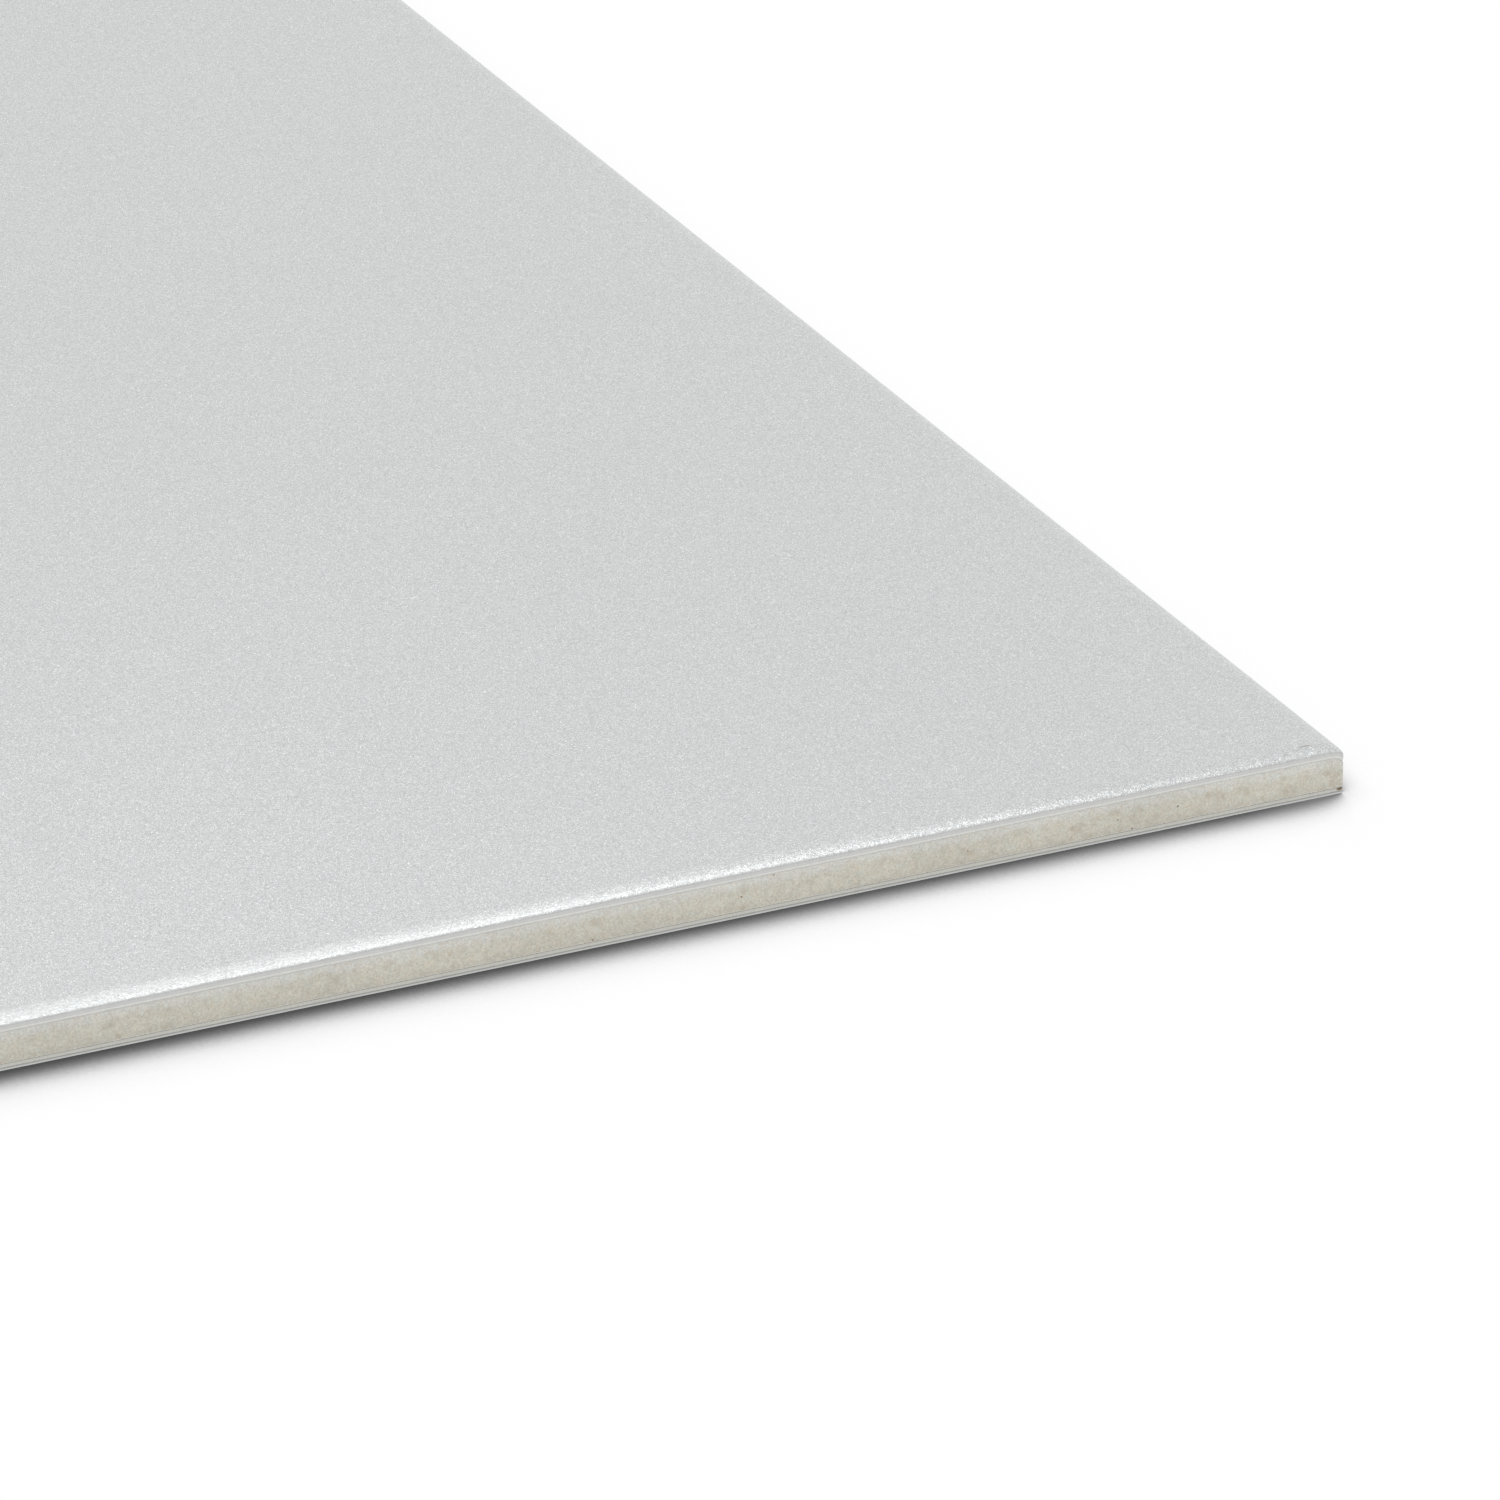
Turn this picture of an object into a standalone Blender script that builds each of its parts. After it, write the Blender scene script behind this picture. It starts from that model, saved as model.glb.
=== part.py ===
"""Aluminium composite panel: two aluminium skins bonded to a mineral-filled core.

The sheet lies face up with its back on the plane Z = 0 and its centre over the world origin, its length along X.
All four edges were cut by a guillotine whose blade came down on the face. At every cut the face skin rolls over and
squeezes the core under it, deeper and further in at the two short cuts, while the back skin, which lay on the
machine's bed, stays flat. Each skin's cut has an upright land where the blade slid, and under it a fracture that
leans inwards. The adhesive films shrink back from the cuts and leave a fine groove beside each skin.

Run it with blender --background --python part.py, or from Blender's text editor. Units are metres, +Z is up.
"""

import math
from dataclasses import dataclass
from typing import Callable

import bmesh
import bpy
from mathutils import Vector

MM = 0.001

# Sheet
SHEET_LENGTH = 500 * MM
SHEET_WIDTH = 250 * MM
PANEL_THICKNESS = 4.0 * MM

# Layers
FACE_SKIN_THICKNESS = 0.5 * MM
BACK_SKIN_THICKNESS = 0.5 * MM
BOND_FILM_THICKNESS = 0.06 * MM
LAYER_CLEARANCE = 0.01 * MM

# Roll-over of the face at a cut
SHORT_CUT_DROP = 0.74 * MM
SHORT_CUT_ROLL_OVER_WIDTH = 2.0 * MM
LONG_CUT_DROP = 0.5 * MM
LONG_CUT_ROLL_OVER_WIDTH = 1.6 * MM
ROLL_OVER_FACETS = 10
SHOULDER_EXPONENT = 2.0
SWEEP_EXPONENT = 3.0

# Edges of the skins and films at a cut
LAND_SHARE_OF_SKIN = 0.5
FRACTURE_LEAN = 0.03 * MM
FILM_SETBACK = 0.05 * MM

COATED_SILVER = (0.62, 0.64, 0.64)
SERVICE_COAT_GREY = (0.42, 0.43, 0.43)
CORE_BEIGE = (0.53, 0.50, 0.44)
FILM_GREY = (0.38, 0.38, 0.38)


def reaches_into_roll_over(point):
    """How far a point lies in the roll-over of its nearest short cut and of its nearest long cut.

    Each is 0 on the flat face and grows to 1 at the cut.
    """
    to_short_cut = max(0.5 * SHEET_LENGTH - abs(point.x), 0.0)
    to_long_cut = max(0.5 * SHEET_WIDTH - abs(point.y), 0.0)
    short_reach = max(0.0, 1.0 - to_short_cut / SHORT_CUT_ROLL_OVER_WIDTH)
    long_reach = max(0.0, 1.0 - to_long_cut / LONG_CUT_ROLL_OVER_WIDTH)
    return short_reach, long_reach


def shoulder(reach):
    """Share of the full drop on the coated face: a shoulder that ends upright."""
    return 1.0 - math.sqrt(max(0.0, 1.0 - reach**SHOULDER_EXPONENT))


def sweep(reach):
    """Share of the full drop under the face skin, which bends less sharply than its face."""
    return reach**SWEEP_EXPONENT


def shoulder_stations(width):
    """Distances from a cut at which a roll-over of this width is facetted.

    The shoulder turns by an equal angle from each station to the next, so they crowd towards the cut.
    """
    turns = (0.5 * math.pi * facet / ROLL_OVER_FACETS for facet in range(ROLL_OVER_FACETS))
    return [width * (1.0 - math.sin(turn) ** (2.0 / SHOULDER_EXPONENT)) for turn in turns]


@dataclass(frozen=True)
class Surface:
    """A surface between two layers, or the sheet's face or back.

    height is its place on the flat of the sheet. profile gives its share of the roll-over from the reach into it,
    or is None for a surface that stays flat. lean is how far it ends short of the cut.
    """

    height: float
    profile: Callable[[float], float] | None = None
    lean: float = 0.0

    def place(self, point):
        """Where a point of a flat block goes on this surface, which near a corner joins the drops of both cuts."""
        short_reach, long_reach = reaches_into_roll_over(point)
        placed = Vector((point.x, point.y, self.height))
        placed.x -= math.copysign(self.lean * short_reach, point.x)
        placed.y -= math.copysign(self.lean * long_reach, point.y)
        if self.profile is not None:
            short_reach, long_reach = reaches_into_roll_over(placed)
            short_drop = SHORT_CUT_DROP * self.profile(short_reach)
            long_drop = LONG_CUT_DROP * self.profile(long_reach)
            placed.z -= math.hypot(short_drop, long_drop)
        return placed


def score_across(block, half_size, outward, stations):
    """Cuts a block's mesh along lines beside its two edges that face outward and away from it."""
    for station in stations:
        for side in (-1.0, 1.0):
            bmesh.ops.bisect_plane(
                block,
                geom=block.verts[:] + block.edges[:] + block.faces[:],
                dist=0.1 * LAYER_CLEARANCE,
                plane_co=side * (half_size - station) * outward,
                plane_no=side * outward,
            )


def layer_mesh(name, lower, upper, setback=0.0, land_share=None):
    """Mesh of one layer: a block that is scored beside the cuts, then laid between its two surfaces.

    setback is how far its edges lie behind the cuts. land_share is the upright share of a skin's edge, above its
    fracture.
    """
    block = bmesh.new()
    bmesh.ops.create_cube(block, size=1.0)
    footprint = (SHEET_LENGTH - 2.0 * setback, SHEET_WIDTH - 2.0 * setback, 1.0)
    bmesh.ops.scale(block, vec=footprint, verts=block.verts)
    bmesh.ops.translate(block, vec=(0.0, 0.0, 0.5), verts=block.verts)
    if lower.profile or upper.profile or lower.lean:
        short_cut_stations = shoulder_stations(SHORT_CUT_ROLL_OVER_WIDTH)
        long_cut_stations = shoulder_stations(LONG_CUT_ROLL_OVER_WIDTH)
        score_across(block, 0.5 * SHEET_LENGTH, Vector((1.0, 0.0, 0.0)), short_cut_stations)
        score_across(block, 0.5 * SHEET_WIDTH, Vector((0.0, 1.0, 0.0)), long_cut_stations)
    if land_share is not None:
        bmesh.ops.bisect_plane(
            block,
            geom=block.verts[:] + block.edges[:] + block.faces[:],
            plane_co=(0.0, 0.0, 1.0 - land_share),
            plane_no=(0.0, 0.0, 1.0),
        )
    upright_lower = Surface(lower.height, lower.profile)
    for vertex in block.verts:
        share = vertex.co.z
        foot = lower if share == 0.0 else upright_lower
        vertex.co = foot.place(vertex.co).lerp(upper.place(vertex.co), share)
    bmesh.ops.recalc_face_normals(block, faces=block.faces)
    mesh = bpy.data.meshes.new(name)
    block.to_mesh(mesh)
    block.free()
    return mesh


def finish(name, color, metallic, roughness):
    """A plain material with a layer's colour, metallic value and roughness."""
    material = bpy.data.materials.new(name)
    material.use_nodes = True
    shader = material.node_tree.nodes["Principled BSDF"]
    shader.inputs["Base Color"].default_value = (*color, 1.0)
    shader.inputs["Metallic"].default_value = metallic
    shader.inputs["Roughness"].default_value = roughness
    material.diffuse_color = (*color, 1.0)
    material.metallic = metallic
    material.roughness = roughness
    return material


def add_layer(panel, name, mesh, material):
    """Puts a layer in the panel's collection, smooth over the roll-over and sharp at the cuts."""
    mesh.materials.append(material)
    mesh.shade_smooth()
    mesh.set_sharp_from_angle(angle=math.radians(30.0))
    panel.objects.link(bpy.data.objects.new(name, mesh))


def build_panel():
    """Builds the five layers from the back up."""
    for old in list(bpy.data.objects):
        bpy.data.objects.remove(old, do_unlink=True)
    panel = bpy.data.collections.new("aluminium_composite_panel")
    bpy.context.scene.collection.children.link(panel)

    back_film_bottom = BACK_SKIN_THICKNESS + LAYER_CLEARANCE
    back_film_top = back_film_bottom + BOND_FILM_THICKNESS
    core_bottom = back_film_top + LAYER_CLEARANCE
    face_skin_bottom = PANEL_THICKNESS - FACE_SKIN_THICKNESS
    face_film_top = face_skin_bottom - LAYER_CLEARANCE
    face_film_bottom = face_film_top - BOND_FILM_THICKNESS
    core_top = face_film_bottom - LAYER_CLEARANCE

    back_skin = layer_mesh(
        "back_skin",
        Surface(0.0, lean=FRACTURE_LEAN),
        Surface(BACK_SKIN_THICKNESS),
        land_share=LAND_SHARE_OF_SKIN,
    )
    back_bond_film = layer_mesh(
        "back_bond_film",
        Surface(back_film_bottom),
        Surface(back_film_top),
        setback=FILM_SETBACK,
    )
    core = layer_mesh("core", Surface(core_bottom), Surface(core_top, sweep))
    face_bond_film = layer_mesh(
        "face_bond_film",
        Surface(face_film_bottom, sweep),
        Surface(face_film_top, sweep),
        setback=FILM_SETBACK,
    )
    face_skin = layer_mesh(
        "face_skin",
        Surface(face_skin_bottom, sweep, FRACTURE_LEAN),
        Surface(PANEL_THICKNESS, shoulder),
        land_share=LAND_SHARE_OF_SKIN,
    )

    film = finish("bond_film", FILM_GREY, 0.0, 0.6)
    add_layer(panel, "back_skin", back_skin, finish("service_coat", SERVICE_COAT_GREY, 0.0, 0.45))
    add_layer(panel, "back_bond_film", back_bond_film, film)
    add_layer(panel, "core", core, finish("mineral_core", CORE_BEIGE, 0.0, 0.9))
    add_layer(panel, "face_bond_film", face_bond_film, film)
    add_layer(panel, "face_skin", face_skin, finish("silver_coating", COATED_SILVER, 0.6, 0.4))


build_panel()
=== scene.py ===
"""Aluminium composite panel, dressed and lit for its picture.

The sheet lies face up on a pale floor, in metres, with +Z up and its back on the plane Z = 0. Its skins and
its core are built again here with a finer roll-over, and every layer gets its finish: silver metallic
coating, sheared aluminium, mineral-filled core, adhesive film and the plain coat of the back.
"""

import logging
import math
from collections.abc import Mapping, Sequence
from dataclasses import dataclass
from enum import Enum

import bmesh
import bpy
from mathutils import Matrix, Vector


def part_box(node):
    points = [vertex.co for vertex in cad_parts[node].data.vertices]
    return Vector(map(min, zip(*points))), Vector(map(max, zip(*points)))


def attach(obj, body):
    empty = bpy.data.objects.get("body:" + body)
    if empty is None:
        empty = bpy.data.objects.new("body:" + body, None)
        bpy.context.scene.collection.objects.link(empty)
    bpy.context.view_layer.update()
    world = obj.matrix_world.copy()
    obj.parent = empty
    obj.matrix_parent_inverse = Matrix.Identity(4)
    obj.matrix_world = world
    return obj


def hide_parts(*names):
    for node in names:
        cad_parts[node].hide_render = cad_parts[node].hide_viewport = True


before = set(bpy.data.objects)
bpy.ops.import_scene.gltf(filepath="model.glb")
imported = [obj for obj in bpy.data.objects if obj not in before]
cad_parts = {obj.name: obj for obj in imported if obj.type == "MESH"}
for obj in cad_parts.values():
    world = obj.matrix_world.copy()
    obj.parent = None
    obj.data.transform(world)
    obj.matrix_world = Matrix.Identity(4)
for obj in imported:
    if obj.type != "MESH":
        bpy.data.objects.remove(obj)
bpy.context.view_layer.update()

MM = 0.001
BODY = "root"
SAME_POINT = 1e-7
SHARP_ANGLE = math.radians(40.0)
CUT_HEIGHT = "cut_height"
WHITE = (1.0, 1.0, 1.0, 1.0)
LOG = logging.getLogger("composite_panel")

Colour = tuple[float, float, float]
Triple = tuple[float, float, float]
Socket = bpy.types.NodeSocket
Feed = float | int | Sequence[float] | Socket


class Slot(Enum):
    """The record's material slots that the layers built here follow."""

    FACE_SKIN = "face_skin"
    BACK_SKIN = "back_skin"
    CORE = "mineral_core"


class Bend(Enum):
    """How a surface between two layers runs into a cut."""

    FLAT = "flat"
    SHOULDER = "shoulder"
    SWEEP = "sweep"


@dataclass(frozen=True)
class Mark:
    """A small mark at a fixed place on the sheet: its centre and its half sizes, in metres."""

    centre: Triple
    halves: Triple


@dataclass(frozen=True)
class RollOver:
    """The face's roll-over beside a cut.

    drop is how far the face is pressed down at the cut and width how far the roll-over reaches in. The
    exponents shape the coated shoulder and the softer sweep under the skin. facets is how many steps turn the
    shoulder upright.
    """

    drop: float
    width: float
    shoulder_exponent: float = 2.0
    sweep_exponent: float = 3.0
    facets: int = 26

    def reach(self, distance: float) -> float:
        """0 on the flat face, growing to 1 at the cut."""
        return max(0.0, 1.0 - distance / self.width)

    def drop_at(self, bend: Bend, distance: float) -> float:
        """How far a surface is pressed down beside the cut.

        Args:
            bend: How the surface runs into the cut.
            distance: How far the point lies from the cut.

        Returns:
            The drop in metres.
        """
        reach = self.reach(distance)
        if bend is Bend.SHOULDER:
            return self.drop * (1.0 - math.sqrt(max(0.0, 1.0 - reach**self.shoulder_exponent)))
        if bend is Bend.SWEEP:
            return self.drop * reach**self.sweep_exponent
        return 0.0

    def stations(self) -> list[float]:
        """Distances from the cut between which the shoulder turns by equal angles."""
        turns = (0.5 * math.pi * facet / self.facets for facet in range(self.facets))
        return [self.width * (1.0 - math.sin(turn) ** (2.0 / self.shoulder_exponent)) for turn in turns]


@dataclass(frozen=True)
class Sheet:
    """Outline of the sheet, centred on the origin, and the roll-overs at its short and its long cuts."""

    length: float
    width: float
    short_cut: RollOver = RollOver(0.74 * MM, 2.0 * MM)
    long_cut: RollOver = RollOver(0.5 * MM, 1.6 * MM)

    def mark(self, from_right: float, from_front: float, height: float, halves: Triple) -> Mark:
        """Places a mark by millimetres.

        Args:
            from_right: Distance of its centre from the right cut.
            from_front: Distance of its centre from the front cut.
            height: Height of its centre over the plane of the sheet's back.
            halves: Its half sizes.

        Returns:
            The mark, in metres.
        """
        centre = (0.5 * self.length - from_right * MM, -0.5 * self.width + from_front * MM, height * MM)
        return Mark(centre, tuple(half * MM for half in halves))

    def stain(self) -> Mark:
        """The brown crumb at the foot of the front right corner."""
        return self.mark(0.25, 0.0, 0.42, (0.32, 0.4, 0.2))

    def distances_to_cuts(self, point: Vector) -> tuple[float, float]:
        """Distances to the nearest short cut and to the nearest long cut."""
        to_short_cut = max(0.5 * self.length - abs(point.x), 0.0)
        to_long_cut = max(0.5 * self.width - abs(point.y), 0.0)
        return to_short_cut, to_long_cut

    def place(self, point: Vector, height: float, bend: Bend, lean: float = 0.0) -> Vector:
        """Lays a point of a flat blank on a surface of the sheet.

        Args:
            point: The point, of which X and Y count.
            height: The surface's height on the flat of the sheet.
            bend: How the surface runs into the cuts.
            lean: How far the surface ends short of the cuts.

        Returns:
            The point on the surface, where the drops of both cuts join near a corner.
        """
        to_short_cut, to_long_cut = self.distances_to_cuts(point)
        placed = Vector((point.x, point.y, height))
        placed.x -= math.copysign(lean * self.short_cut.reach(to_short_cut), point.x)
        placed.y -= math.copysign(lean * self.long_cut.reach(to_long_cut), point.y)
        to_short_cut, to_long_cut = self.distances_to_cuts(placed)
        short_drop = self.short_cut.drop_at(bend, to_short_cut)
        long_drop = self.long_cut.drop_at(bend, to_long_cut)
        placed.z -= math.hypot(short_drop, long_drop)
        return placed


@dataclass
class Blank:
    """A flat blank of one layer that is scored beside its cuts and then laid between two surfaces.

    lower_lean is how far the lower surface ends short of the cuts. levels are shares of the thickness at
    which the blank is scored all round. The mesh keeps, as the attribute cut_height, how far up the layer's
    thickness each vertex lies, from 0 to 1.
    """

    sheet: Sheet
    name: str
    lower: float
    upper: float
    lower_bend: Bend = Bend.FLAT
    upper_bend: Bend = Bend.FLAT
    lower_lean: float = 0.0
    levels: tuple[float, ...] = ()

    def mesh(self) -> bpy.types.Mesh:
        """Builds the layer as one closed mesh with its cuts in material slot 1."""
        block = bmesh.new()
        bmesh.ops.create_cube(block, size=1.0)
        bmesh.ops.scale(block, vec=(self.sheet.length, self.sheet.width, 1.0), verts=block.verts)
        bmesh.ops.translate(block, vec=(0.0, 0.0, 0.5), verts=block.verts)
        for level in self.levels:
            self._bisect(block, Vector((0.0, 0.0, level)), Vector((0.0, 0.0, 1.0)))
        for face in block.faces:
            is_cut = abs(face.normal.z) < 0.5
            face.material_index = int(is_cut)
        self._score(block)
        self._lay(block)
        bmesh.ops.recalc_face_normals(block, faces=block.faces)
        self._mark_sharp(block)
        mesh = bpy.data.meshes.new(self.name)
        block.to_mesh(mesh)
        block.free()
        return mesh

    @staticmethod
    def _bisect(block: bmesh.types.BMesh, point: Vector, normal: Vector) -> None:
        """Scores the whole blank along a plane."""
        geometry = block.verts[:] + block.edges[:] + block.faces[:]
        bmesh.ops.bisect_plane(block, geom=geometry, dist=SAME_POINT, plane_co=point, plane_no=normal)

    def _score(self, block: bmesh.types.BMesh) -> None:
        """Scores the blank along lines beside its four cuts."""
        sheet = self.sheet
        short = (Vector((1.0, 0.0, 0.0)), sheet.length, sheet.short_cut)
        long = (Vector((0.0, 1.0, 0.0)), sheet.width, sheet.long_cut)
        for outward, extent, cut in (short, long):
            for station in cut.stations():
                for side in (-1.0, 1.0):
                    self._bisect(block, side * (0.5 * extent - station) * outward, side * outward)

    def _lay(self, block: bmesh.types.BMesh) -> None:
        """Moves every vertex of the blank to its place between the two surfaces."""
        heights = block.verts.layers.float.new(CUT_HEIGHT)
        for vertex in block.verts:
            share = vertex.co.z
            vertex[heights] = share
            lean = self.lower_lean if share == 0.0 else 0.0
            foot = self.sheet.place(vertex.co, self.lower, self.lower_bend, lean)
            head = self.sheet.place(vertex.co, self.upper, self.upper_bend)
            vertex.co = foot.lerp(head, share)

    @staticmethod
    def _mark_sharp(block: bmesh.types.BMesh) -> None:
        """Shades the roll-over smooth and keeps the cuts' edges sharp."""
        for shaded in block.faces:
            shaded.smooth = True
        for edge in block.edges:
            if len(edge.link_faces) == 2:
                crosses = edge.link_faces[0].material_index != edge.link_faces[1].material_index
                edge.smooth = not (crosses or edge.calc_face_angle(0.0) > SHARP_ANGLE)


class Nodes:
    """Adds nodes to the tree of a material, a node group or the world."""

    COLUMN_WIDTH = 200.0
    ROW_HEIGHT = 180.0
    COLUMNS = 9
    SPOT_SOLID_TO = 0.45
    SPOT_GONE_FROM = 1.1

    def __init__(self, tree: bpy.types.NodeTree) -> None:
        """Takes the tree to add to."""
        self.tree = tree

    def add(
        self,
        kind: str,
        inputs: Mapping[str | int, Feed] | None = None,
        **settings: object,
    ) -> bpy.types.Node:
        """Adds one node.

        Args:
            kind: The node's type.
            inputs: Values or sockets for its inputs, by name or place.
            **settings: Properties of the node.

        Returns:
            The new node.
        """
        node = self.tree.nodes.new(kind)
        row, column = divmod(len(self.tree.nodes), self.COLUMNS)
        node.location = (self.COLUMN_WIDTH * column, -self.ROW_HEIGHT * row)
        for name, value in settings.items():
            setattr(node, name, value)
        self.feed(node, inputs or {})
        return node

    def feed(self, node: bpy.types.Node, inputs: Mapping[str | int, Feed]) -> None:
        """Links sockets into a node's inputs, or sets the inputs' values."""
        for key, value in inputs.items():
            if isinstance(value, Socket):
                self.tree.links.new(value, node.inputs[key])
            else:
                node.inputs[key].default_value = value

    def math(self, operation: str, *values: Feed, clamp: bool = False) -> Socket:
        """Adds a Math node and returns its result."""
        node = self.add("ShaderNodeMath", dict(enumerate(values)), operation=operation, use_clamp=clamp)
        return node.outputs[0]

    def vector(self, operation: str, *values: Feed) -> Socket:
        """Adds a Vector Math node and returns its vector."""
        node = self.add("ShaderNodeVectorMath", dict(enumerate(values)), operation=operation)
        return node.outputs["Vector"]

    def spread(
        self,
        value: Feed,
        low: float,
        high: float,
        start: float = 0.0,
        end: float = 1.0,
        kind: str = "SMOOTHSTEP",
    ) -> Socket:
        """Maps a value.

        Args:
            value: The value to map.
            low: The result at start and before it.
            high: The result at end and past it.
            start: The value that gives low.
            end: The value that gives high.
            kind: The interpolation between them.

        Returns:
            The result.
        """
        inputs = {"Value": value, "From Min": start, "From Max": end, "To Min": low, "To Max": high}
        return self.add("ShaderNodeMapRange", inputs, interpolation_type=kind).outputs["Result"]

    def mix(self, share: Feed, first: Feed, second: Feed) -> Socket:
        """Mixes two colours and returns the result."""
        return self.add("ShaderNodeMix", {0: share, 6: first, 7: second}, data_type="RGBA").outputs[2]

    def paint(self, mask: Feed, ground: Feed, colour: Colour) -> Socket:
        """Lays a plain colour over the ground where the mask is 1."""
        return self.mix(mask, ground, (*colour, 1.0))

    def ramp(self, value: Feed, stops: Sequence[tuple[float, Colour]]) -> Socket:
        """Adds a colour ramp with stops at rising places and returns its colour."""
        node = self.add("ShaderNodeValToRGB", {0: value})
        elements = node.color_ramp.elements
        while len(elements) < len(stops):
            elements.new(1.0)
        for element, (place, colour) in zip(elements, stops):
            element.position = place
            element.color = (*colour, 1.0)
        return node.outputs["Color"]

    def tint(self, colour: Feed, factor: Feed) -> Socket:
        """Makes a colour lighter or darker by a factor."""
        inputs = {0: colour, "Scale": factor}
        return self.add("ShaderNodeVectorMath", inputs, operation="SCALE").outputs["Vector"]

    def tone(self, colour: Feed, warmth: Feed, strength: float) -> Socket:
        """Makes a colour warmer where warmth nears 1 and cooler where it nears 0, by up to the strength."""
        warm = (1.0 + strength, 1.0, 1.0 - strength, 1.0)
        cool = (1.0 - strength, 1.0, 1.0 + strength, 1.0)
        return self.vector("MULTIPLY", colour, self.mix(warmth, cool, warm))

    def object_place(self) -> Socket:
        """Place on the object, in metres."""
        return self.add("ShaderNodeTexCoord").outputs["Object"]

    def cut_height(self) -> Socket:
        """How far up its layer's thickness a point of a cut lies, from 0 to 1."""
        return self.add("ShaderNodeAttribute", attribute_name=CUT_HEIGHT).outputs["Fac"]

    def bump(self, height: Socket, distance: float, strength: float) -> Socket:
        """Adds a Bump node and returns its normal."""
        inputs = {"Height": height, "Distance": distance, "Strength": strength}
        return self.add("ShaderNodeBump", inputs).outputs["Normal"]

    def spots(self, marks: Sequence[Mark]) -> Socket:
        """Mask of small marks at fixed places.

        Args:
            marks: The marks, at least one.

        Returns:
            1 inside any mark, fading to 0 at its rim.
        """
        place = self.object_place()
        total, *others = [self._spot(place, mark) for mark in marks]
        for mask in others:
            total = self.math("MAXIMUM", total, mask)
        return total

    def _spot(self, place: Socket, mark: Mark) -> Socket:
        """Mask of one mark."""
        scaled = self.vector("DIVIDE", self.vector("SUBTRACT", place, mark.centre), mark.halves)
        distance = self.add("ShaderNodeVectorMath", {0: scaled}, operation="LENGTH").outputs["Value"]
        return self.spread(distance, 1.0, 0.0, self.SPOT_SOLID_TO, self.SPOT_GONE_FROM)


@dataclass(frozen=True)
class Noise:
    """A cloudy pattern: the size of its clouds, in metres, and the number and strength of finer layers."""

    LOW = 0.3
    HIGH = 0.7

    size: float
    detail: float
    roughness: float = 0.5

    def add(self, nodes: Nodes, place: Socket) -> Socket:
        """Adds the pattern and returns its value, which lies around a half."""
        inputs = {
            "Vector": place,
            "Scale": 1.0 / self.size,
            "Detail": self.detail,
            "Roughness": self.roughness,
        }
        return nodes.add("ShaderNodeTexNoise", inputs).outputs["Fac"]

    def spread(self, nodes: Nodes, place: Socket, low: float, high: float) -> Socket:
        """Adds the pattern and returns it spread between two values."""
        return nodes.spread(self.add(nodes, place), low, high, self.LOW, self.HIGH)


@dataclass(frozen=True)
class Grain:
    """Mottle and fine grain of a finish.

    The sizes are in metres and the two depths are shares of the shade. Where upright is under 1, the pattern
    runs further up and down than along.
    """

    mottle_size: float
    mottle: float
    grain_size: float
    grain: float
    upright: float = 1.0

    def add(self, nodes: Nodes, group: bpy.types.NodeTree) -> bpy.types.NodeOutputs:
        """Adds the shared group with these values and returns its Shade and Height."""
        inputs = {
            "Mottle Size": self.mottle_size,
            "Mottle": self.mottle,
            "Grain Size": self.grain_size,
            "Grain": self.grain,
            "Upright": self.upright,
        }
        return nodes.add("ShaderNodeGroup", inputs, node_tree=group).outputs


@dataclass(frozen=True)
class Flakes:
    """Metal flakes of a coating: size in metres, spread of their shades, share with a painted glint, and
    tilt.
    """

    size: float
    spread: float
    painted_glint_share: float
    tilt: float

    def add(self, nodes: Nodes, group: bpy.types.NodeTree) -> bpy.types.NodeOutputs:
        """Adds the shared group with these values and returns its Shade, Glint, Warmth and Normal."""
        inputs = {"Flake Size": self.size, "Spread": self.spread, "Glints": self.painted_glint_share, "Tilt": self.tilt}
        return nodes.add("ShaderNodeGroup", inputs, node_tree=group).outputs


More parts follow.
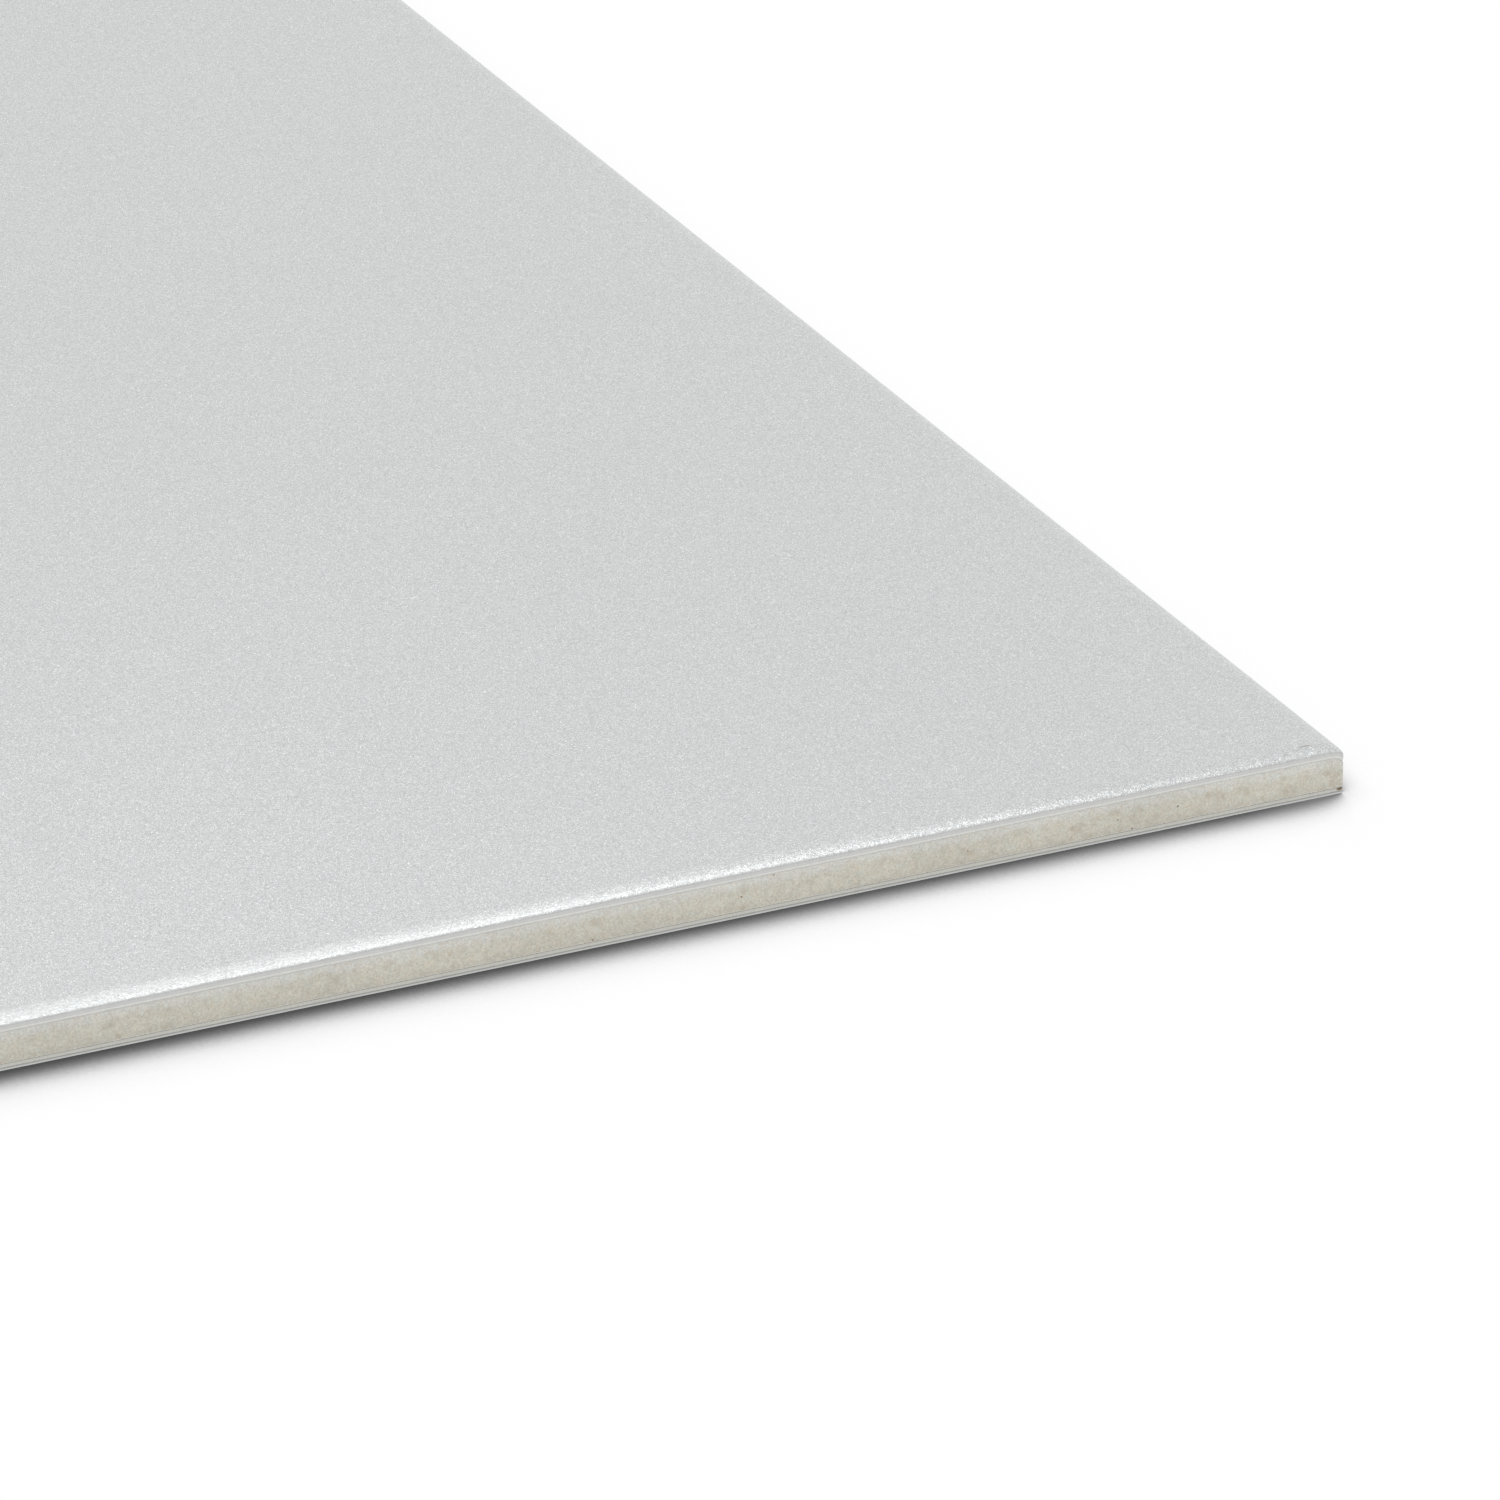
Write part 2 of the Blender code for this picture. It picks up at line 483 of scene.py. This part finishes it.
class SharedEffects:
    """Node groups that more than one finish uses, each built once."""

    MOTTLE_DETAIL = 3.0
    GRAIN_DETAIL = 2.0
    NOISE_ROUGHNESS = 0.6
    HALVES = (0.5, 0.5, 0.5)

    def __init__(self) -> None:
        """Builds both groups."""
        self.grain = self._build_grain()
        self.flakes = self._build_flakes()

    @staticmethod
    def _group(
        name: str,
        inputs: Sequence[str],
        outputs: Mapping[str, str],
    ) -> tuple[bpy.types.NodeTree, Nodes]:
        """Makes an empty node group.

        Args:
            name: The group's name.
            inputs: Names of its inputs, which are numbers.
            outputs: Names and socket types of its outputs.

        Returns:
            The group and the helper that adds nodes to it.
        """
        group = bpy.data.node_groups.new(name, "ShaderNodeTree")
        for label in inputs:
            group.interface.new_socket(label, in_out="INPUT", socket_type="NodeSocketFloat")
        for label, kind in outputs.items():
            group.interface.new_socket(label, in_out="OUTPUT", socket_type=kind)
        return group, Nodes(group)

    def _build_grain(self) -> bpy.types.NodeTree:
        """Mottle and fine grain around 1, with its height for a Bump node."""
        inputs = ("Mottle Size", "Mottle", "Grain Size", "Grain", "Upright")
        outputs = {"Shade": "NodeSocketFloat", "Height": "NodeSocketFloat"}
        group, nodes = self._group("mottle_and_grain", inputs, outputs)
        given = nodes.add("NodeGroupInput").outputs
        upright = nodes.add("ShaderNodeCombineXYZ", {"X": 1.0, "Y": 1.0, "Z": given["Upright"]}).outputs[0]
        place = nodes.vector("MULTIPLY", nodes.object_place(), upright)
        mottle = self._layer(nodes, place, given["Mottle Size"], given["Mottle"], self.MOTTLE_DETAIL)
        grain = self._layer(nodes, place, given["Grain Size"], given["Grain"], self.GRAIN_DETAIL)
        height = nodes.math("ADD", mottle, grain)
        nodes.add("NodeGroupOutput", {"Shade": nodes.math("ADD", 1.0, height), "Height": height})
        return group

    def _layer(self, nodes: Nodes, place: Socket, size: Socket, depth: Socket, detail: float) -> Socket:
        """A cloudy pattern around 0.

        Args:
            nodes: The helper that adds its nodes.
            place: Where the pattern is read.
            size: The size of its clouds, in metres.
            depth: How far it goes up and down.
            detail: How many finer layers it has.

        Returns:
            The pattern's value.
        """
        scale = nodes.math("DIVIDE", 1.0, size)
        inputs = {"Vector": place, "Scale": scale, "Detail": detail, "Roughness": self.NOISE_ROUGHNESS}
        noise = nodes.add("ShaderNodeTexNoise", inputs).outputs["Fac"]
        centred = nodes.math("MULTIPLY", nodes.math("SUBTRACT", noise, 0.5), 2.0)
        return nodes.math("MULTIPLY", centred, depth)

    def _build_flakes(self) -> bpy.types.NodeTree:
        """Metal flakes: a shade, a painted glint, a warmth and a tilted normal of each flake."""
        outputs = dict.fromkeys(("Shade", "Glint", "Warmth"), "NodeSocketFloat")
        outputs["Normal"] = "NodeSocketVector"
        group, nodes = self._group("metal_flakes", ("Flake Size", "Spread", "Glints", "Tilt"), outputs)
        given = nodes.add("NodeGroupInput").outputs
        scale = nodes.math("DIVIDE", 1.0, given["Flake Size"])
        cells = nodes.add("ShaderNodeTexVoronoi", {"Vector": nodes.object_place(), "Scale": scale}).outputs
        chance = nodes.vector("SUBTRACT", cells["Color"], self.HALVES)
        parts = nodes.add("ShaderNodeSeparateXYZ", {0: chance}).outputs
        shade = nodes.math("MULTIPLY_ADD", nodes.math("MULTIPLY", parts["X"], 2.0), given["Spread"], 1.0)
        # A share of the flakes gets a painted glint: their sparkle painted into the colour.
        above = nodes.math("ADD", nodes.math("SUBTRACT", parts["Y"], 0.5), given["Glints"])
        painted_glint = nodes.math("DIVIDE", above, given["Glints"], clamp=True)
        warmth = nodes.math("ADD", parts["Z"], 0.5)
        turn = nodes.add("ShaderNodeTexWhiteNoise", {"Vector": cells["Position"]}).outputs["Color"]
        lean = nodes.tint(nodes.vector("SUBTRACT", turn, self.HALVES), given["Tilt"])
        upright = nodes.add("ShaderNodeNewGeometry").outputs["Normal"]
        normal = nodes.vector("NORMALIZE", nodes.vector("ADD", upright, lean))
        nodes.add("NodeGroupOutput", {"Shade": shade, "Glint": painted_glint, "Warmth": warmth, "Normal": normal})
        return group


def bare_material(name: str) -> tuple[bpy.types.Material, Nodes, bpy.types.Node]:
    """Makes a material with one Principled shader.

    Args:
        name: The material's name.

    Returns:
        The material, the helper that adds nodes to it, and its shader.
    """
    material = bpy.data.materials.new(name)
    material.use_nodes = True
    return material, Nodes(material.node_tree), material.node_tree.nodes["Principled BSDF"]


@dataclass(frozen=True)
class SilverCoating:
    """Coil-coated silver metallic paint: fine flakes under a satin clear binder, some with a painted glint.
    """

    effects: SharedEffects
    marks: Sequence[Mark]
    colour: Colour = (0.561, 0.577, 0.574)
    # Painted glint: the light colour that stands for the flakes' sparkle.
    painted_glint_colour: Colour = (0.95, 0.95, 0.93)
    mark_colour: Colour = (0.3, 0.3, 0.28)
    flakes: Flakes = Flakes(0.07 * MM, 0.21, 0.08, 0.22)
    cloud: Grain = Grain(25.0 * MM, 0.012, 0.3 * MM, 0.012)
    warmth: float = 0.02
    metallic: float = 0.88
    roughness: float = 0.27
    binder_weight: float = 0.2
    binder_roughness: float = 0.25

    def material(self) -> bpy.types.Material:
        """Builds the coating's material."""
        material, nodes, shader = bare_material("silver_metallic_coating")
        flakes = self.flakes.add(nodes, self.effects.flakes)
        cloud = self.cloud.add(nodes, self.effects.grain)
        shade = nodes.math("MULTIPLY", flakes["Shade"], cloud["Shade"])
        coated = nodes.tone(nodes.tint(self.colour, shade), flakes["Warmth"], self.warmth)
        # Painted glint: light colour on the glinting flakes stands for their sparkle.
        with_painted_glints = nodes.paint(flakes["Glint"], coated, self.painted_glint_colour)
        inputs = {
            "Base Color": nodes.paint(nodes.spots(self.marks), with_painted_glints, self.mark_colour),
            "Normal": flakes["Normal"],
            "Metallic": self.metallic,
            "Roughness": self.roughness,
            "Coat Weight": self.binder_weight,
            "Coat Roughness": self.binder_roughness,
        }
        nodes.feed(shader, inputs)
        return material


@dataclass(frozen=True)
class ShearedAluminium:
    """Bare aluminium where a skin was sheared.

    The colours run from the skin's lower edge to its upper edge, at the given shares of its thickness.
    waviness is how far the grain shifts them.
    """

    effects: SharedEffects
    name: str
    stops: Sequence[tuple[float, Colour]]
    stains: Sequence[Mark] = ()
    stain_colour: Colour = (0.2, 0.15, 0.1)
    grain: Grain = Grain(0.7 * MM, 0.05, 0.12 * MM, 0.1, 0.25)
    waviness: float = 0.35
    bump_height: float = 0.01 * MM
    bump_strength: float = 0.6
    metallic: float = 0.7
    roughness: float = 0.42

    def material(self) -> bpy.types.Material:
        """Builds the material of the cut."""
        material, nodes, shader = bare_material(self.name)
        grain = self.grain.add(nodes, self.effects.grain)
        height = nodes.math("MULTIPLY_ADD", grain["Height"], self.waviness, nodes.cut_height())
        colour = nodes.tint(nodes.ramp(height, self.stops), grain["Shade"])
        if self.stains:
            colour = nodes.paint(nodes.spots(self.stains), colour, self.stain_colour)
        inputs = {
            "Base Color": colour,
            "Normal": nodes.bump(grain["Height"], self.bump_height, self.bump_strength),
            "Metallic": self.metallic,
            "Roughness": self.roughness,
        }
        nodes.feed(shader, inputs)
        return material


@dataclass(frozen=True)
class MineralFill:
    """Cut face of the core: polyethylene full of mineral powder, smeared by the blade near the face skin.

    The ground's colours run from the core's foot to its top, at the given shares of its thickness. waviness
    is how far the clouds of waves shift them. Patches of the mottled colour set in between the two values of
    patch_from and end upwards between the two shares of patch_top. They are likelier by shade_lift where a
    shade is placed. hollow_warmth is how quickly the grain's hollows turn warmer. drift changes the
    lightness slowly along the cut, and tones change the warmth finely.
    """

    effects: SharedEffects
    specks: Sequence[Mark]
    shades: Sequence[Mark]
    stains: Sequence[Mark]
    # Darker towards the foot, partly as painted shade near the floor; the light top is the blade's smear.
    ground: Sequence[tuple[float, Colour]] = (
        (0.0, (0.577, 0.551, 0.477)),
        (0.3, (0.629, 0.606, 0.524)),
        (0.62, (0.629, 0.606, 0.524)),
        (0.86, (0.665, 0.655, 0.605)),
    )
    mottled: Colour = (0.47, 0.425, 0.345)
    speck_colour: Colour = (0.22, 0.15, 0.1)
    stain_colour: Colour = (0.2, 0.15, 0.1)
    grain: Grain = Grain(0.8 * MM, 0.1, 0.15 * MM, 0.38)
    hollow_warmth: float = 2.5
    warmth: float = 0.03
    waves: Noise = Noise(1.6 * MM, 4.0, 0.6)
    waviness: float = 0.4
    patches: Noise = Noise(1.1 * MM, 5.0, 0.68)
    patch_strength: float = 0.7
    patch_from: tuple[float, float] = (0.5, 0.76)
    patch_top: tuple[float, float] = (0.68, 0.92)
    shade_lift: float = 0.1
    tones: Noise = Noise(0.9 * MM, 4.0, 0.9)
    drift: Noise = Noise(9.0 * MM, 1.0)
    drift_depth: float = 0.025
    bump_height: float = 0.05 * MM
    bump_strength: float = 0.5
    roughness: float = 0.85

    def material(self) -> bpy.types.Material:
        """Builds the core's material."""
        material, nodes, shader = bare_material("mineral_filled_core")
        grain = self.grain.add(nodes, self.effects.grain)
        place = nodes.object_place()
        uneven = nodes.math("SUBTRACT", self.waves.add(nodes, place), 0.5)
        height = nodes.math("MULTIPLY_ADD", uneven, self.waviness, nodes.cut_height())
        shaded = nodes.tint(nodes.ramp(height, self.ground), grain["Shade"])
        hollow = nodes.math("MULTIPLY_ADD", grain["Height"], -self.hollow_warmth, 0.5, clamp=True)
        grained = nodes.tone(shaded, hollow, self.warmth)
        patched = nodes.paint(self._patches(nodes, place, height), grained, self.mottled)
        toned = nodes.tone(patched, self.tones.spread(nodes, place, 0.0, 1.0), self.warmth)
        drift = self.drift.spread(nodes, place, 1.0 - self.drift_depth, 1.0 + self.drift_depth)
        stained = nodes.paint(nodes.spots(self.stains), nodes.tint(toned, drift), self.stain_colour)
        inputs = {
            "Base Color": nodes.paint(nodes.spots(self.specks), stained, self.speck_colour),
            "Normal": nodes.bump(grain["Height"], self.bump_height, self.bump_strength),
            "Roughness": self.roughness,
        }
        nodes.feed(shader, inputs)
        return material

    def _patches(self, nodes: Nodes, place: Socket, height: Socket) -> Socket:
        """Mask of the darker patches."""
        chance = self.patches.add(nodes, place)
        likelier = nodes.math("MULTIPLY_ADD", nodes.spots(self.shades), self.shade_lift, chance)
        patch = nodes.spread(likelier, 0.0, self.patch_strength, *self.patch_from)
        below = nodes.spread(height, 1.0, 0.0, *self.patch_top)
        return nodes.math("MULTIPLY", patch, below)


@dataclass(frozen=True)
class AdhesiveFilm:
    """Grey adhesive film, seen as a thin dark line beside each skin."""

    effects: SharedEffects
    name: str
    colour: Colour
    grain: Grain = Grain(1.5 * MM, 0.2, 0.1 * MM, 0.15)
    roughness: float = 0.55

    def material(self) -> bpy.types.Material:
        """Builds the film's material."""
        material, nodes, shader = bare_material(self.name)
        grain = self.grain.add(nodes, self.effects.grain)
        inputs = {"Base Color": nodes.tint(self.colour, grain["Shade"]), "Roughness": self.roughness}
        nodes.feed(shader, inputs)
        return material


@dataclass(frozen=True)
class ServiceCoat:
    """Thin matt coat on the panel's back, laid on by rollers that leave faint lines along the sheet.

    lines says how many times each metre the lines change along the sheet, across it and upwards.
    """

    effects: SharedEffects
    colour: Colour = (0.42, 0.43, 0.43)
    grain: Grain = Grain(30.0 * MM, 0.03, 0.4 * MM, 0.05)
    lines: Triple = (4.0, 350.0, 4.0)
    line_pattern: Noise = Noise(1.0, 3.0)
    line_depth: float = 0.015
    metallic: float = 0.25
    roughness: float = 0.5

    def material(self) -> bpy.types.Material:
        """Builds the coat's material."""
        material, nodes, shader = bare_material("grey_service_coat")
        grain = self.grain.add(nodes, self.effects.grain)
        across = nodes.vector("MULTIPLY", nodes.object_place(), self.lines)
        line = self.line_pattern.spread(nodes, across, 1.0 - self.line_depth, 1.0 + self.line_depth)
        inputs = {
            "Base Color": nodes.tint(self.colour, nodes.math("MULTIPLY", grain["Shade"], line)),
            "Metallic": self.metallic,
            "Roughness": self.roughness,
        }
        nodes.feed(shader, inputs)
        return material


def add_piece(mesh: bpy.types.Mesh, materials: Sequence[bpy.types.Material], slot: Slot, node: str) -> None:
    """Puts a new piece in the scene in the place of a CAD node.

    Args:
        mesh: The piece's mesh, which gives it its name.
        materials: The materials of its faces, by index.
        slot: The record's slot that its finish follows; not used.
        node: The CAD node that it stands for.
    """
    piece = bpy.data.objects.new(mesh.name, mesh)
    bpy.context.scene.collection.objects.link(piece)
    for material in materials:
        mesh.materials.append(material)
    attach(piece, BODY)
    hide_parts(node)
    LOG.info("%s: %d faces, stands for %s", piece.name, len(mesh.polygons), node)


@dataclass
class FaceSkin:
    """Coated aluminium skin that rolls over at every cut."""

    sheet: Sheet
    effects: SharedEffects
    thickness: float = 0.5 * MM
    top: float = 4.0 * MM
    fracture_lean: float = 0.03 * MM
    land_share: float = 0.5
    # Painted shade at the cut's foot beside the groove, and at its top with the coating's edge.
    painted_shade_line: Colour = (0.525, 0.525, 0.517)
    land: Colour = (0.61, 0.61, 0.597)
    fracture: Colour = (0.72, 0.72, 0.69)

    def marks(self) -> list[Mark]:
        """A short scratch beside the front right corner and a dark speck on the face."""
        height = self.top / MM
        scratch = self.sheet.mark(2.8, 1.02, height, (0.65, 0.08, 0.4))
        speck = self.sheet.mark(36.7, 1.51, height, (0.1, 0.16, 0.3))
        return [scratch, speck]

    def cut(self) -> ShearedAluminium:
        """Cut's finish: coat edge and painted shade on top, land, fracture, painted shade at the foot."""
        stops = (
            (0.0, self.painted_shade_line),
            (0.1, self.fracture),
            (0.3, self.fracture),
            (0.42, self.land),
            (0.82, self.land),
            (0.92, self.painted_shade_line),
        )
        return ShearedAluminium(self.effects, "sheared_face_skin", stops)

    def build(self) -> None:
        """Builds and dresses the skin."""
        blank = Blank(
            self.sheet,
            "coated_face_skin",
            self.top - self.thickness,
            self.top,
            lower_bend=Bend.SWEEP,
            upper_bend=Bend.SHOULDER,
            lower_lean=self.fracture_lean,
            levels=(1.0 - self.land_share,),
        )
        coating = SilverCoating(self.effects, self.marks()).material()
        add_piece(blank.mesh(), (coating, self.cut().material()), Slot.FACE_SKIN, "face_skin")


@dataclass
class Core:
    """Mineral-filled core, squeezed by the face skin's roll-over.

    speck_depth and shade_depth are how far the marks of the front cut reach into the core, in millimetres.
    """

    sheet: Sheet
    effects: SharedEffects
    bottom: float = 0.58 * MM
    top: float = 3.42 * MM
    speck_depth: float = 0.3
    shade_depth: float = 1.5

    def specks(self) -> list[Mark]:
        """Dark specks in the front cut, by millimetres from the right end, height and half size."""
        places = (
            (13.9, 1.7, 0.1),
            (18.9, 1.6, 0.08),
            (17.7, 0.65, 0.1),
            (31.3, 1.6, 0.07),
            (49.7, 1.66, 0.09),
            (47.1, 2.9, 0.08),
            (61.6, 0.66, 0.09),
        )
        return [self.sheet.mark(x, 0.0, z, (half, self.speck_depth, half)) for x, z, half in places]

    def shades(self) -> list[Mark]:
        """Soft darker patches of the front cut, by millimetres from the right end, height and half sizes."""
        places = (
            (0.75, 1.02, 0.5, 0.45),
            (1.6, 1.9, 0.6, 0.35),
            (4.4, 1.25, 1.0, 0.5),
            (4.8, 2.2, 0.6, 0.3),
            (7.2, 0.9, 0.5, 0.3),
            (9.2, 1.6, 0.2, 0.9),
            (11.9, 2.2, 1.0, 0.35),
            (31.2, 1.6, 0.8, 0.5),
            (40.5, 1.2, 1.6, 0.6),
            (55.0, 1.1, 2.0, 0.5),
        )
        return [self.sheet.mark(x, 0.0, z, (wide, self.shade_depth, high)) for x, z, wide, high in places]

    def build(self) -> None:
        """Builds and dresses the core."""
        blank = Blank(self.sheet, "mineral_core_slab", self.bottom, self.top, upper_bend=Bend.SWEEP)
        fill = MineralFill(self.effects, self.specks(), self.shades(), [self.sheet.stain()]).material()
        add_piece(blank.mesh(), (fill, fill), Slot.CORE, "core")


@dataclass
class BackSkin:
    """Flat aluminium skin with a service coat on its back."""

    sheet: Sheet
    effects: SharedEffects
    thickness: float = 0.5 * MM
    fracture_lean: float = 0.03 * MM
    land_share: float = 0.5
    # Painted light: the foot is lightened.
    foot: Colour = (0.75, 0.75, 0.74)
    fracture: Colour = (0.54, 0.55, 0.54)
    # Painted shade: the dark line under the land.
    painted_shade_line: Colour = (0.33, 0.33, 0.31)
    land: Colour = (0.56, 0.555, 0.51)
    # The rim is a little darker: painted shade of the bond line's groove above it.
    rim: Colour = (0.52, 0.515, 0.47)

    def cut(self) -> ShearedAluminium:
        """Cut: rim and line of painted shade, upright land, grey fracture, foot lit with painted light."""
        stops = (
            (0.0, self.foot),
            (0.1, self.fracture),
            (0.24, self.fracture),
            (0.32, self.painted_shade_line),
            (0.43, self.painted_shade_line),
            (0.52, self.land),
            (0.78, self.land),
            (0.9, self.rim),
        )
        return ShearedAluminium(self.effects, "sheared_back_skin", stops, [self.sheet.stain()])

    def build(self) -> None:
        """Builds and dresses the skin."""
        blank = Blank(
            self.sheet,
            "coated_back_skin",
            0.0,
            self.thickness,
            lower_lean=self.fracture_lean,
            levels=(1.0 - self.land_share,),
        )
        coat = ServiceCoat(self.effects).material()
        add_piece(blank.mesh(), (coat, self.cut().material()), Slot.BACK_SKIN, "back_skin")


@dataclass
class BondFilms:
    """Both films keep their CAD shape. Painted light lightens their colours, the back one's most."""

    effects: SharedEffects
    # Both colours are lightened with painted light against the shade of the grooves they sit in.
    face_colour: Colour = (0.68, 0.68, 0.66)
    back_colour: Colour = (1.0, 0.985, 0.915)

    def dress(self) -> None:
        """Gives each film its finish."""
        for node, colour in (("face_bond_film", self.face_colour), ("back_bond_film", self.back_colour)):
            film = AdhesiveFilm(self.effects, f"{node}_adhesive", colour)
            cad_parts[node].material_slots[0].material = film.material()
            LOG.info("%s: keeps its CAD shape", node)


@dataclass(frozen=True)
class Softbox:
    """A soft lamp that hangs over the sheet and faces straight down.

    brightness is in watts for each square metre.
    """

    name: str
    centre: Triple
    size: tuple[float, float]
    brightness: float

    def build(self) -> None:
        """Hangs the lamp, out of the camera's sight."""
        light = bpy.data.lights.new(self.name, "AREA")
        light.shape = "RECTANGLE"
        light.size, light.size_y = self.size
        light.energy = self.brightness * light.size * light.size_y
        lamp = bpy.data.objects.new(self.name, light)
        bpy.context.scene.collection.objects.link(lamp)
        lamp.location = self.centre
        lamp.visible_camera = False


@dataclass(frozen=True)
class ContactShadow:
    """The sheet's soft contact shadow on the floor, found from the share of open sky over each place.

    reach is how far away the sheet still shades the floor, and up is the middle of the sky. To the left of
    deeper_from the shadow grows, up to deeper_share at deeper_to. The levels give the floor's grey at rising
    shares of open sky: cut_levels beside the front cut, and corner_levels round the front right corner, where
    they take over between corner_from and corner_to. All four places are along X.
    """

    reach: float = 20.0 * MM
    up: Triple = (0.2873, 0.0, 0.9578)
    samples: int = 16
    deeper_from: float = 233.0 * MM
    deeper_to: float = 140.0 * MM
    deeper_share: float = 0.175
    corner_from: float = 242.0 * MM
    corner_to: float = 248.0 * MM
    cut_levels: Sequence[tuple[float, float]] = (
        (0.51, 0.075),
        (0.57, 0.13),
        (0.605, 0.19),
        (0.65, 0.29),
        (0.7, 0.42),
        (0.75, 0.6),
        (0.8, 0.79),
        (0.85, 0.93),
        (0.88, 0.98),
        (0.91, 1.0),
    )
    corner_levels: Sequence[tuple[float, float]] = (
        (0.55, 0.19),
        (0.6, 0.215),
        (0.65, 0.3),
        (0.7, 0.39),
        (0.75, 0.53),
        (0.8, 0.72),
        (0.85, 0.85),
        (0.9, 0.96),
        (0.95, 1.0),
    )

    def colour(self, nodes: Nodes) -> Socket:
        """Adds the shadow's nodes and returns the floor's colour in it."""
        up = nodes.add("ShaderNodeCombineXYZ", dict(enumerate(self.up))).outputs[0]
        inputs = {"Distance": self.reach, "Normal": up}
        sky = nodes.add("ShaderNodeAmbientOcclusion", inputs, samples=self.samples).outputs["AO"]
        along = nodes.add("ShaderNodeSeparateXYZ", {0: nodes.object_place()}).outputs["X"]
        deeper = nodes.spread(along, 0.0, self.deeper_share, self.deeper_from, self.deeper_to, "LINEAR")
        shut = nodes.math("SUBTRACT", 1.0, sky)
        open_share = nodes.math("SUBTRACT", sky, nodes.math("MULTIPLY", deeper, shut))
        at_corner = nodes.spread(along, 0.0, 1.0, self.corner_from, self.corner_to, "LINEAR")
        beside_cut = self._greys(nodes, open_share, self.cut_levels)
        round_corner = self._greys(nodes, open_share, self.corner_levels)
        return nodes.mix(at_corner, beside_cut, round_corner)

    @staticmethod
    def _greys(nodes: Nodes, open_share: Socket, levels: Sequence[tuple[float, float]]) -> Socket:
        """Grey of the floor at a share of open sky."""
        return nodes.ramp(open_share, [(share, (level,) * 3) for share, level in levels])


@dataclass
class Studio:
    """Plain pale floor, white surroundings and two soft lamps overhead, the front one brighter."""

    floor_reach: float = 8.0
    floor_colour: Colour = (0.85, 0.85, 0.85)
    surroundings: float = 0.85
    softboxes: Sequence[Softbox] = (
        Softbox("front_softbox", (0.286, -0.335, 0.3), (0.088, 0.57), 4.4),
        Softbox("rear_softbox", (0.28, 0.115, 0.3), (0.1, 0.33), 2.45),
    )
    shadow: ContactShadow = ContactShadow()

    def build(self) -> None:
        """Builds the floor, the surroundings and the lamps."""
        self._floor()
        self._surroundings()
        for softbox in self.softboxes:
            softbox.build()

    @staticmethod
    def _seen(nodes: Nodes) -> Socket:
        """1 for rays that show the background: from the camera, or off metal or through glass."""
        path = nodes.add("ShaderNodeLightPath").outputs
        glossy = nodes.math("MAXIMUM", path["Is Camera Ray"], path["Is Glossy Ray"])
        return nodes.math("MAXIMUM", glossy, path["Is Transmission Ray"])

    def _floor(self) -> None:
        """A white floor that keeps the sheet's contact shadow."""
        plane = bmesh.new()
        bmesh.ops.create_grid(plane, x_segments=1, y_segments=1, size=self.floor_reach)
        mesh = bpy.data.meshes.new("studio_floor")
        plane.to_mesh(mesh)
        plane.free()
        floor = bpy.data.objects.new("studio_floor", mesh)
        bpy.context.scene.collection.objects.link(floor)
        mesh.materials.append(self._floor_material())

    def _floor_material(self) -> bpy.types.Material:
        """White to the camera, but for the shadow, and pale grey to the light that it throws back."""
        material = bpy.data.materials.new("white_floor")
        material.use_nodes = True
        material.node_tree.nodes.clear()
        nodes = Nodes(material.node_tree)
        from_camera = nodes.add("ShaderNodeLightPath").outputs["Is Camera Ray"]
        shaded = nodes.mix(from_camera, WHITE, self.shadow.colour(nodes))
        white = nodes.add("ShaderNodeEmission", {"Color": shaded, "Strength": 1.0}).outputs[0]
        lit = nodes.add("ShaderNodeBsdfDiffuse", {"Color": (*self.floor_colour, 1.0)}).outputs[0]
        shown = nodes.add("ShaderNodeMixShader", {0: self._seen(nodes), 1: lit, 2: white}).outputs[0]
        nodes.add("ShaderNodeOutputMaterial", {"Surface": shown})
        return material

    def _surroundings(self) -> None:
        """White surroundings that also light the sheet from all sides."""
        world = bpy.data.worlds.new("white_surroundings")
        world.use_nodes = True
        world.node_tree.nodes.clear()
        nodes = Nodes(world.node_tree)
        white = nodes.add("ShaderNodeBackground", {"Color": WHITE, "Strength": 1.0}).outputs[0]
        soft = nodes.add("ShaderNodeBackground", {"Color": WHITE, "Strength": self.surroundings}).outputs[0]
        shown = nodes.add("ShaderNodeMixShader", {0: self._seen(nodes), 1: soft, 2: white}).outputs[0]
        nodes.add("ShaderNodeOutputWorld", {"Surface": shown})
        bpy.context.scene.world = world


@dataclass
class Viewpoint:
    """The photograph's camera, low over the front left and close to the front right corner.

    The angles are in degrees. lens and sensor are in millimetres, and the rest in metres.
    """

    place: Triple = (-0.0823, -0.72112, 0.32015)
    azimuth: float = -25.4175
    elevation: float = 24.9338
    lens: float = 241.646
    sensor: float = 36.0
    nearest: float = 0.01
    farthest: float = 50.0

    def build(self) -> None:
        """Makes the camera and sets it as the scene's."""
        data = bpy.data.cameras.new("picture_camera")
        data.sensor_width = self.sensor
        data.lens = self.lens
        data.clip_start = self.nearest
        data.clip_end = self.farthest
        camera = bpy.data.objects.new("picture_camera", data)
        bpy.context.scene.collection.objects.link(camera)
        turn = Matrix.Rotation(math.radians(self.azimuth), 4, "Z")
        tilt = Matrix.Rotation(math.radians(90.0 - self.elevation), 4, "X")
        camera.matrix_world = Matrix.Translation(self.place) @ turn @ tilt
        bpy.context.scene.camera = camera


def main() -> None:
    """Builds the studio, the camera and the dressed sheet."""
    logging.basicConfig(level=logging.INFO, format="%(message)s")
    low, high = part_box("back_skin")
    sheet = Sheet(length=high.x - low.x, width=high.y - low.y)
    effects = SharedEffects()
    Viewpoint().build()
    Studio().build()
    FaceSkin(sheet, effects).build()
    Core(sheet, effects).build()
    BackSkin(sheet, effects).build()
    BondFilms(effects).dress()
    bpy.context.scene.view_settings.view_transform = "Standard"


if __name__ == "__main__":
    main()
